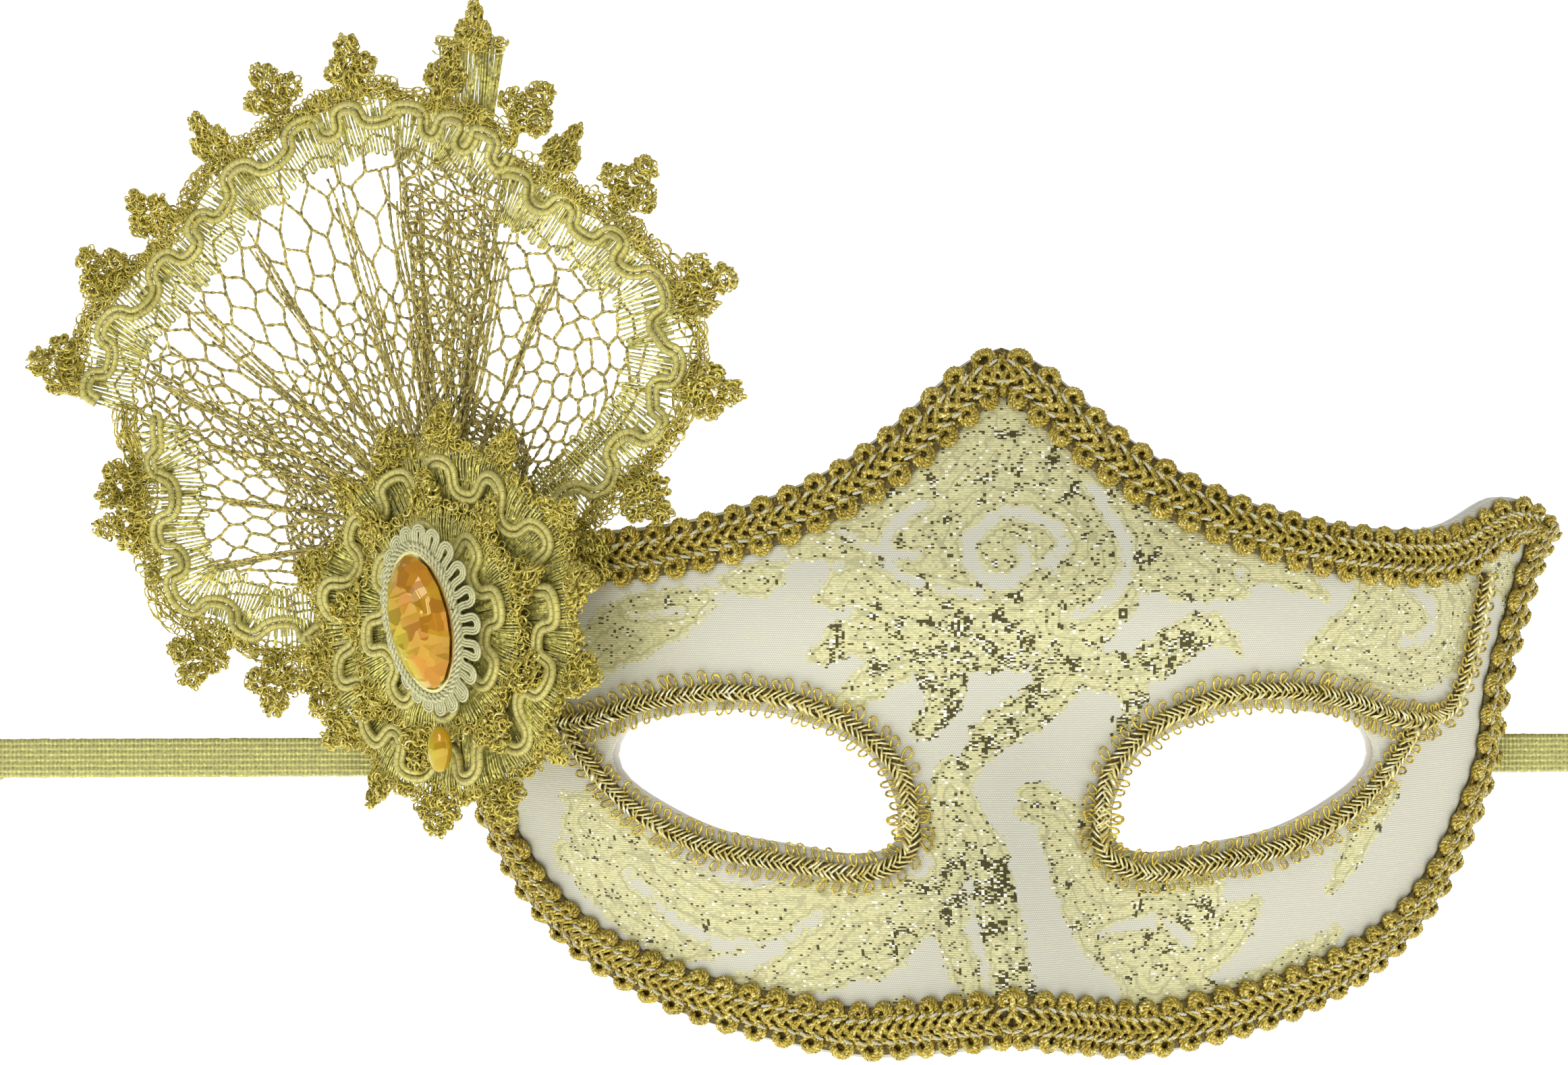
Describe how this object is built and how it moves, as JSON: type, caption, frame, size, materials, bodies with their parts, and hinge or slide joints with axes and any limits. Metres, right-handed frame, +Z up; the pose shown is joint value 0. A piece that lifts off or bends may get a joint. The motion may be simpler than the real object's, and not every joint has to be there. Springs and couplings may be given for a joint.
{
  "type": "venetian masquerade mask",
  "caption": "Brocade-covered half mask with gold braid edges, picot eye trims, a pleated lace fan and jewelled rosette at one temple, and elastic straps.",
  "frame": {"origin": "where the lining rests on the bridge of the wearer's nose, between the eye openings", "axes": "+X to the viewer's right, +Y back towards the wearer, +Z up as worn"},
  "size_m": [0.285, 0.0856, 0.1518],
  "materials": {
    "papier_mache": "matte pulp",
    "felt_lining": "soft white felt",
    "brocade": "cream brocade with metallic gold scrolls",
    "gold_gimp": "metallic gold gimp braid",
    "picot_gold": "narrow metallic picot braid",
    "elastic": "flat metallic elastic",
    "hot_glue": "cloudy hot-melt",
    "gold_net": "metallic tulle net",
    "metallic_lace": "gathered metallic lace",
    "scroll_cord": "wrapped yellow-gold cord",
    "backing_felt": "stiff felt",
    "gilt_cup": "bright gilt",
    "pale_gimp": "pale gold serpentine cord",
    "amber_glass": "faceted amber glass with foil back"
  },
  "bodies": {
    "mask": {"mask_shell": "papier_mache", "inner_lining": "felt_lining", "brocade_cover": "brocade", "top_braid": "gold_gimp", "lower_braid_right": "gold_gimp", "lower_braid_left": "gold_gimp", "eye_trim_right": "picot_gold", "temple_trim_right": "picot_gold", "eye_trim_left": "picot_gold", "temple_trim_left": "picot_gold", "strap_tab_right": "elastic", "glue_pad_right": "hot_glue", "strap_tab_left": "elastic", "glue_pad_left": "hot_glue", "fan_net_lower": "gold_net", "fan_lace_lower": "metallic_lace", "fan_net_left": "gold_net", "fan_lace_left": "metallic_lace", "fan_net_pleat": "gold_net", "fan_lace_pleat": "metallic_lace", "fan_net_right": "gold_net", "fan_lace_right": "metallic_lace", "rosette_felt": "backing_felt", "rosette_outer_ruffle": "metallic_lace", "rosette_inner_ruffle": "metallic_lace", "rosette_scroll_cord": "scroll_cord", "jewel_cup": "gilt_cup", "jewel_gimp_ring": "pale_gimp", "jewel_stone": "amber_glass", "small_stone": "amber_glass"},
    "left_elastic": {"strap_left": "elastic", "strap_knot_left": "elastic"},
    "right_elastic": {"strap_right": "elastic", "strap_knot_right": "elastic"}
  },
  "joints": [
    {"name": "left_strap_swing", "type": "hinge", "parent": "mask", "child": "left_elastic", "pos_m": [-0.07955, 0.04992, -0.0032], "axis": [0, 0, -1], "range_deg": [0, 95]},
    {"name": "right_strap_swing", "type": "hinge", "parent": "mask", "child": "right_elastic", "pos_m": [0.07955, 0.04992, -0.0032], "axis": [0, 0, 1], "range_deg": [0, 95]}
  ]
}
